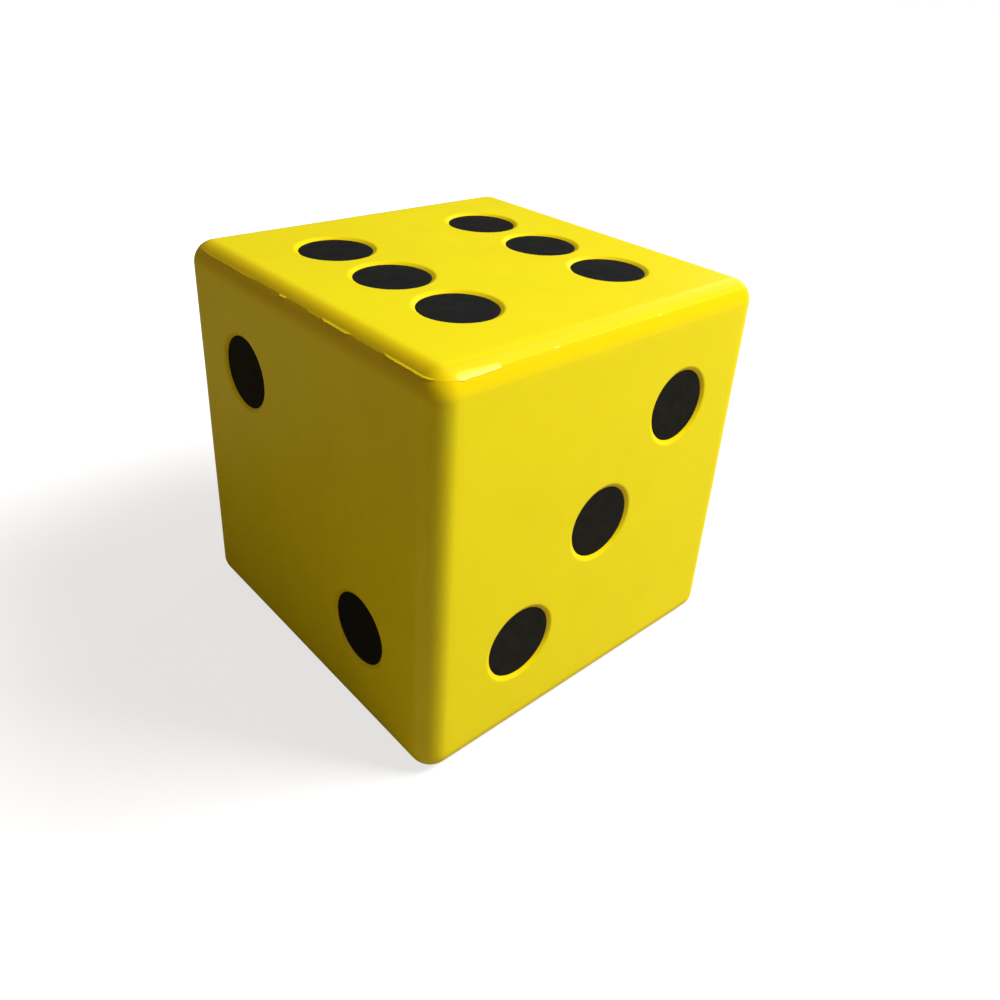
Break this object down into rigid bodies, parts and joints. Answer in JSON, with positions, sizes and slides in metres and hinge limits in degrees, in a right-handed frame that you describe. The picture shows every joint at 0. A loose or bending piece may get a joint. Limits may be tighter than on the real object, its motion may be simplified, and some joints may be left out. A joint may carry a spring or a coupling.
{
  "type": "giant yard dice",
  "caption": "Hollow moulded plastic cube with rounded edges, a welded top shell and black disc pips set in round pockets, for lawn dice games.",
  "frame": {"origin": "centre of face one, on the plane that the dice rests on", "axes": "+Z out of face six, +X out of face three, -Y out of face two; opposite faces add to seven"},
  "size_m": [0.4064, 0.4064, 0.4064],
  "materials": {
    "yellow_shell": "smooth moulded polyethylene, satin gloss",
    "yellow_flash": "trimmed weld flash, a little paler and rougher than the shell",
    "black_pip": "satin black, finely grained",
    "vent_plug": "matt black moulded"
  },
  "bodies": {
    "root": {"body_shell": "yellow_shell", "top_shell": "yellow_shell", "seam_weld_bead": "yellow_flash", "vent_plug": "vent_plug", "one_pip_1": "black_pip", "two_pip_1": "black_pip", "two_pip_2": "black_pip", "three_pip_1": "black_pip", "three_pip_2": "black_pip", "three_pip_3": "black_pip", "four_pip_1": "black_pip", "four_pip_2": "black_pip", "four_pip_3": "black_pip", "four_pip_4": "black_pip", "five_pip_1": "black_pip", "five_pip_2": "black_pip", "five_pip_3": "black_pip", "five_pip_4": "black_pip", "five_pip_5": "black_pip", "six_pip_1": "black_pip", "six_pip_2": "black_pip", "six_pip_3": "black_pip", "six_pip_4": "black_pip", "six_pip_5": "black_pip", "six_pip_6": "black_pip"}
  },
  "joints": []
}
